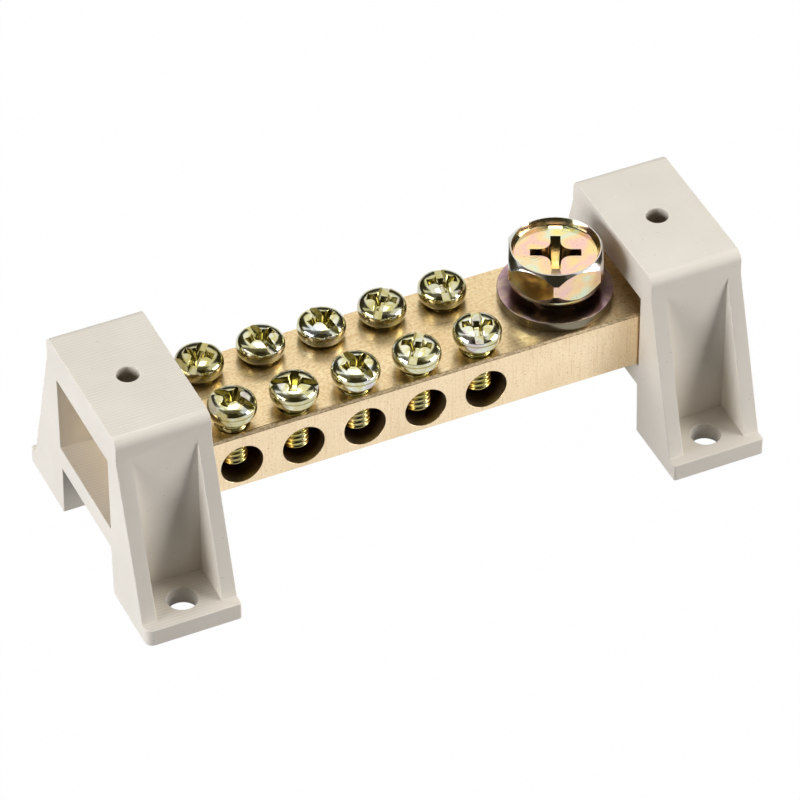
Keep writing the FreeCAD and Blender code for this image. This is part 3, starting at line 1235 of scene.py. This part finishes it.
@dataclass
class LargeBolt(ThreadedPiece):
    """The hexagon bolt: a chamfered, dished head with a rounded lip under it."""

    across_flats: float = 12.9
    seat_radius: float = 3.0
    corner_azimuth: float = 244.8
    corner_radius: float = 7.25
    lip_radius: float = 6.4
    lip_height: float = 0.8
    lip_profile: tuple[Point, ...] = ((-0.35, 0.0), (-0.08, 0.1), (0.0, 0.32), (-0.02, 0.62))
    bevel_top: float = 2.4
    chamfer_bottom: float = 4.2
    chamfer_knee: Point = (0.5, 0.7)
    top_radius: float = 6.28
    head_height: float = 5.48
    rim_width: float = 0.18
    dish_draft: float = 0.3
    dish_floor: float = 4.36
    recess: CrossRecess = CrossRecess(
        span=7.0, waist=1.4, end=1.4, swell=1.5, depth=3.0,
        floor_span=3.6, floor_waist=1.0, floor_swell=0.7,
    )
    recess_overshoot: float = 0.002
    segments: int = 128

    def head(self, seat: Vector, tilt: float) -> Object:
        """The head alone, upright, with its bearing face on z = 0.

        Args:
            seat: not used, because the head is drawn about the origin.
            tilt: not used.

        Returns:
            The head.
        """
        lip, top = self.lip_radius, self.top_radius
        rim = top - self.rim_width
        wall = rim - self.dish_draft
        knee_out, knee_up = self.chamfer_knee
        profile = [
            (0.0, 0.0), (self.seat_radius, 0.0), *((lip + out, up) for out, up in self.lip_profile),
            (lip + 0.02, self.lip_height), (self.corner_radius, self.bevel_top),
            (self.corner_radius, self.chamfer_bottom), (top + knee_out, self.chamfer_bottom + knee_up),
            (top, self.head_height - 0.04), (top - 0.05, self.head_height), (rim, self.head_height),
            (wall + 0.04, self.dish_floor + 0.16), (wall - 0.12, self.dish_floor), (0.0, self.dish_floor),
        ]
        made = lathe(self.name, profile, self.segments)
        carve(made, self._hexagon(), "INTERSECT")
        carve(made, self.recess.cutter(self.dish_floor, self.recess_overshoot))
        soften(made, self.edge_round, angle=24.0, flat=False)
        made.data.transform(Matrix.Rotation(math.radians(self.corner_azimuth), 4, "Z"))
        return made

    def _hexagon(self) -> Object:
        """A hexagon prism taller than the head, with a corner on +X.

        Returns:
            The prism.
        """
        corner = self.across_flats / 2 / math.cos(math.radians(30))
        turns = [math.radians(60 * i) for i in range(6)]
        outline = [(corner * math.cos(t), corner * math.sin(t)) for t in turns]
        return loft("hexagon", outline, outline, (-1.0, self.head_height + 1.0))

    def clean(self, middle: Vector, normal: Vector) -> float:
        """Stained in the cross recess, lightly so on the dish's wall; one flat is darkened with a painted
        dark reflection.

        Args:
            middle: the face's middle, millimetres above the bearing face.
            normal: its normal.

        Returns:
            How clean the face is, 0 to 1.
        """
        out = middle.to_2d().length
        if out < self.recess.span / 2 + 0.1 and middle.z < self.dish_floor - 0.03:
            return 0.15
        if out < self.top_radius - self.rim_width + 0.02 and middle.z > self.dish_floor + 0.02:
            return 0.65
        # Painted dark reflection: the flat whose normal points this way is darkened.
        stained = Matrix.Rotation(math.radians(self.corner_azimuth - 30.0), 3, "Z") @ Vector((1, 0, 0))
        on_flat = self.lip_height < middle.z < self.head_height - 0.3
        return 0.2 if on_flat and normal.dot(stained) > 0.97 else 1.0

    def worn(self, middle: Vector, normal: Vector) -> float:
        """Silver on the chamfer, the rim and the bevel under the corners.

        Args:
            middle: the face's middle, millimetres above the bearing face.
            normal: its normal.

        Returns:
            How worn the face is, 0 to 1.
        """
        outside = middle.to_2d().length > self.top_radius - self.rim_width - 0.02
        if outside and middle.z > self.chamfer_bottom and normal.z > 0.1:
            return 1.0
        if outside and self.lip_height < middle.z < self.bevel_top and normal.z < -0.1:
            return 0.6
        return 0.0


@dataclass
class Washer(Piece):
    """The plain washer: dull on its edge, darkened round the bolt by painted shade and dark reflection.
    """

    edge_round: float = 0.1
    bore_radius: float = 4.2
    painted_shade_radius: float = 6.4
    clean_radius: float = 8.3
    rings: int = 12
    segments: int = 128

    def build(self) -> None:
        """Builds the piece."""
        lo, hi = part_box(self.nodes[0])
        outer, thickness = (hi.x - lo.x) / 2 / MM, (hi.z - lo.z) / MM
        step = (outer - self.bore_radius) / self.rings
        across = [self.bore_radius + step * i for i in range(self.rings + 1)]
        inner = (self.bore_radius, 0.0)
        top = [(radius, thickness) for radius in reversed(across)]
        made = lathe(self.name, [inner, (outer, 0.0), *top, inner], self.segments)
        soften(made, self.edge_round, angle=60.0)
        mark(made.data, worn=self._worn, clean=self._clean)
        made.data.transform(Matrix.Translation(self.axis_at(lo.z)))
        self.settle(made)

    def _worn(self, middle: Vector, normal: Vector) -> float:
        """Worn right through on the edge."""
        return 2.0 if abs(normal.z) < 0.8 else 0.0

    def _clean(self, middle: Vector, normal: Vector) -> float:
        """How free a face is of the painted shade and dark reflection round the bolt, from its distance
        to the bolt.
        """
        out = middle.to_2d().length - self.painted_shade_radius
        return min(max(out / (self.clean_radius - self.painted_shade_radius), 0.0), 1.0)


# Studio


def direction(azimuth: float, elevation: float) -> Vector:
    """Direction of a place in the studio, from degrees right of the front and degrees up."""
    az, el = math.radians(azimuth), math.radians(elevation)
    return Vector((math.sin(az) * math.cos(el), -math.cos(az) * math.cos(el), math.sin(el)))


@dataclass(frozen=True)
class PhotoCamera:
    """The camera of the reference picture, in millimetres and degrees."""

    azimuth: float = -24.539
    elevation: float = 41.281
    roll: float = -0.276
    distance: float = 754.35
    shift_right: float = 0.386
    shift_up: float = -3.222
    target_height: float = 14.674
    focal_pixels: float = 5546.98
    frame_pixels: float = 800.0
    sensor_width: float = 36.0
    clip: tuple[float, float] = (0.01, 20.0)

    def build(self) -> None:
        """Adds the camera."""
        roll = math.radians(self.roll)
        back = direction(self.azimuth, self.elevation)
        right = (-back).cross(Vector((0, 0, 1))).normalized()
        up = right.cross(-back)
        across = math.cos(roll) * right + math.sin(roll) * up
        upward = -math.sin(roll) * right + math.cos(roll) * up
        target = Vector((0, 0, self.target_height))
        place = target + back * self.distance + across * self.shift_right + upward * self.shift_up
        data = bpy.data.cameras.new("photo_camera")
        data.sensor_width = self.sensor_width
        data.lens = self.focal_pixels / self.frame_pixels * data.sensor_width
        data.clip_start, data.clip_end = self.clip
        camera = bpy.data.objects.new("photo_camera", data)
        turn = Matrix((across, upward, back)).transposed().to_4x4()
        camera.matrix_world = Matrix.Translation(place * MM) @ turn
        bpy.context.scene.collection.objects.link(camera)
        bpy.context.scene.camera = camera


@dataclass(frozen=True)
class Softbox:
    """A rectangular lamp aimed at the object's middle. Its lengths are metres."""

    name: str
    azimuth: float
    elevation: float
    distance: float
    size: tuple[float, float]
    watts: float
    colour: tuple[float, float, float]
    target_height: float = 0.012

    def build(self) -> None:
        """Adds the lamp."""
        data = bpy.data.lights.new(self.name, "AREA")
        data.shape = "RECTANGLE"
        data.size, data.size_y = self.size
        data.energy = self.watts
        data.color = self.colour
        back = direction(self.azimuth, self.elevation)
        lamp = bpy.data.objects.new(self.name, data)
        lamp.location = back * self.distance + Vector((0, 0, self.target_height))
        lamp.rotation_mode = "QUATERNION"
        lamp.rotation_quaternion = (-back).to_track_quat("-Z", "Y")
        bpy.context.scene.collection.objects.link(lamp)


class Studio:
    """White ground and world, and the lamps. Lengths are metres and angles degrees."""

    AMBIENT = 0.0
    WHITE = (1, 1, 1, 1)
    GROUND_GREY = (0.05, 0.05, 0.05, 1)
    GROUND_GLOW = 1.035
    GROUND_SHARE = 0.96
    GROUND_REACH = 1.5
    GROUND_DROP = 0.02 * MM
    LAMPS = (
        Softbox("left_softbox", -85, 15, 0.75, (0.5, 0.4), 5.9, (0.98, 0.98, 1.0)),
        Softbox("right_softbox", 58, 14, 0.75, (0.4, 0.4), 5.5, (1.0, 0.98, 0.97)),
        Softbox("rear_softbox", 155.5, 55, 0.9, (1.0, 1.0), 3.6, (1.0, 0.99, 0.96)),
        Softbox("top_softbox", 155.5, 76, 0.9, (0.3, 0.3), 2.5, (1.0, 0.99, 0.96)),
    )
    DARK = (0.036, 0.031, 0.016, 1)
    DIM = (0.155, 0.145, 0.11, 1)
    SCREENS = (
        ("low_screen", DARK, 0.0, 180.0, (2.0, 28.0)),
        ("front_screen", DARK, -24.5, 30.0, (28.0, 62.0)),
        ("left_screen", DIM, -86.0, 31.5, (28.0, 62.0)),
        ("right_screen", DIM, 16.5, 11.0, (28.0, 62.0)),
        ("upper_screen", DIM, -24.5, 80.0, (62.0, 89.0)),
        ("rear_screen", DARK, 155.5, 70.0, (28.0, 86.0)),
    )
    SCREEN_RADIUS = 1.2
    SCREEN_COLUMNS = 24
    SCREEN_BANDS = 12

    def build(self) -> None:
        """Builds the studio."""
        self._world()
        self._floor()
        for screen in self.SCREENS:
            self._screen(*screen)
        for lamp in self.LAMPS:
            lamp.build()

    def _seen(self, graph: NodeGraph) -> Socket:
        """1 for rays that show the white ground: seen, mirrored or refracted ones.

        Args:
            graph: where the nodes go.

        Returns:
            The value.
        """
        path = graph.add("ShaderNodeLightPath").outputs
        seen = graph.math("MAXIMUM", path["Is Camera Ray"], path["Is Glossy Ray"])
        return graph.math("MAXIMUM", seen, path["Is Transmission Ray"])

    def _world(self) -> None:
        """Adds the white world, which lights nothing."""
        world = bpy.data.worlds.new("studio")
        bpy.context.scene.world = world
        world.use_nodes = True
        g = NodeGraph(world.node_tree)
        shown = {"Value": self._seen(g), "To Min": self.AMBIENT, "To Max": 1.0}
        level = g.first("ShaderNodeMapRange", shown)
        ground = g.first("ShaderNodeBackground", {"Color": self.WHITE, "Strength": level})
        g.add("ShaderNodeOutputWorld", {"Surface": ground})

    def _part(self, name: str, points: Sequence[Any], faces: Sequence[Any]) -> tuple[Object, NodeGraph]:
        """Adds a part of the studio.

        Args:
            name: its name.
            points: its corners.
            faces: its faces, by the corners' numbers.

        Returns:
            The object and the graph of its material, which is still empty.
        """
        mesh = bpy.data.meshes.new(name)
        mesh.from_pydata(points, [], faces)
        material = bpy.data.materials.new(name)
        material.use_nodes = True
        mesh.materials.append(material)
        return mesh_object(name, mesh), NodeGraph(material.node_tree)

    def _floor(self) -> None:
        """Adds the ground, which is grey to light and white to the eye."""
        reach, low = self.GROUND_REACH, -self.GROUND_DROP
        corners = [(-reach, -reach, low), (reach, -reach, low), (reach, reach, low), (-reach, reach, low)]
        floor, g = self._part("floor", corners, [(0, 1, 2, 3)])
        lit = g.first("ShaderNodeBsdfDiffuse", {"Color": self.GROUND_GREY})
        white = g.first("ShaderNodeEmission", {"Color": self.WHITE, "Strength": self.GROUND_GLOW})
        share = g.times(self._seen(g), self.GROUND_SHARE)
        both = g.first("ShaderNodeMixShader", {0: share, 1: lit, 2: white})
        g.add("ShaderNodeOutputMaterial", {"Surface": both})

    def _screen(
        self, name: str, colour: Colour, azimuth: float, spread: float, elevations: Point
    ) -> None:
        """A curved, darker part of the room that only shows in bright metal.

        Args:
            name: the screen's name.
            colour: its colour.
            azimuth: direction of its middle.
            spread: how far it reaches to each side.
            elevations: of its lower and upper edge.
        """
        columns, bands = self.SCREEN_COLUMNS, self.SCREEN_BANDS
        low, high = elevations
        points, faces = [], []
        for j in range(bands + 1):
            for i in range(columns + 1):
                turn = azimuth - spread + 2 * spread * i / columns
                points.append(direction(turn, low + (high - low) * j / bands) * self.SCREEN_RADIUS)
        for j in range(bands):
            for i in range(columns):
                near = j * (columns + 1) + i
                faces.append((near, near + 1, near + columns + 2, near + columns + 1))
        wall, g = self._part(name, points, faces)
        wall.visible_camera = False
        wall.visible_diffuse = False
        wall.visible_transmission = False
        wall.visible_shadow = False
        glow = g.first("ShaderNodeEmission", {"Color": colour, "Strength": 1.0})
        g.add("ShaderNodeOutputMaterial", {"Surface": glow})


# The object


@dataclass
class TerminalBar:
    """The whole object, with each terminal screw's turn in degrees and how stained it is."""

    front_slot_azimuths: tuple[float, ...] = (124.0, 152.0, 106.0, 55.0, 71.0)
    back_slot_azimuths: tuple[float, ...] = (49.0, 101.0, 105.0, 54.0, 77.0)
    front_tarnish: tuple[float, ...] = (0.35, 0.15, 0.0, 0.1, 0.15)
    back_tarnish: tuple[float, ...] = (0.75, 0.25, 0.15, 0.5, 0.5)
    bolt_thread: Thread = Thread(radius=4.0, depth=0.65, pitch=1.25, length=12.0, tip_chamfer=0.8)
    fixing_thread: Thread = Thread(radius=2.0, depth=0.4, pitch=0.7, length=8.0, tip_chamfer=0.5)

    def build(self) -> None:
        """Builds every piece in order."""
        plastic = PLASTIC.material()
        brass = BRASS.material()
        yellow = YELLOW_ZINC.material()
        bolt = BOLT_ZINC.material()
        for side in ("left", "right"):
            MouldedSupport(f"moulded_support_{side}", (f"support_{side}",), Slot.PLASTIC, plastic).build()
        BrassBar("drilled_bar", ("brass_bar",), Slot.BRASS, brass).build()
        shank = ThreadedShank()
        head = TerminalScrewHead().build()
        rows = (
            ("front", zip(self.front_slot_azimuths, self.front_tarnish)),
            ("back", zip(self.back_slot_azimuths, self.back_tarnish)),
        )
        for row, screws in rows:
            for number, (azimuth, tarnish) in enumerate(screws, 1):
                TerminalScrew(
                    f"clamping_screw_{row}_{number}", (f"terminal_screw_{row}_{number}",),
                    Slot.SCREW_ZINC, yellow, head=head, shank=shank, azimuth=azimuth, tarnish=tarnish,
                ).build()
        Washer("large_washer", ("plain_washer",), Slot.BOLT_ZINC, WASHER_ZINC.material()).build()
        LargeBolt(
            "large_bolt", ("main_bolt",), Slot.BOLT_ZINC, bolt, shank, self.bolt_thread, edge_round=0.07
        ).build()
        for side in ("left", "right"):
            ThreadedPiece(
                f"fixing_screw_{side}", (f"bar_fixing_screw_{side}",), Slot.SCREW_ZINC, yellow,
                shank, self.fixing_thread, head_below=True,
            ).build()


def main() -> None:
    """Builds the object, the camera and the studio."""
    bpy.context.scene.view_settings.view_transform = "Standard"
    TerminalBar().build()
    PhotoCamera().build()
    Studio().build()


if __name__ == "__main__":
    main()
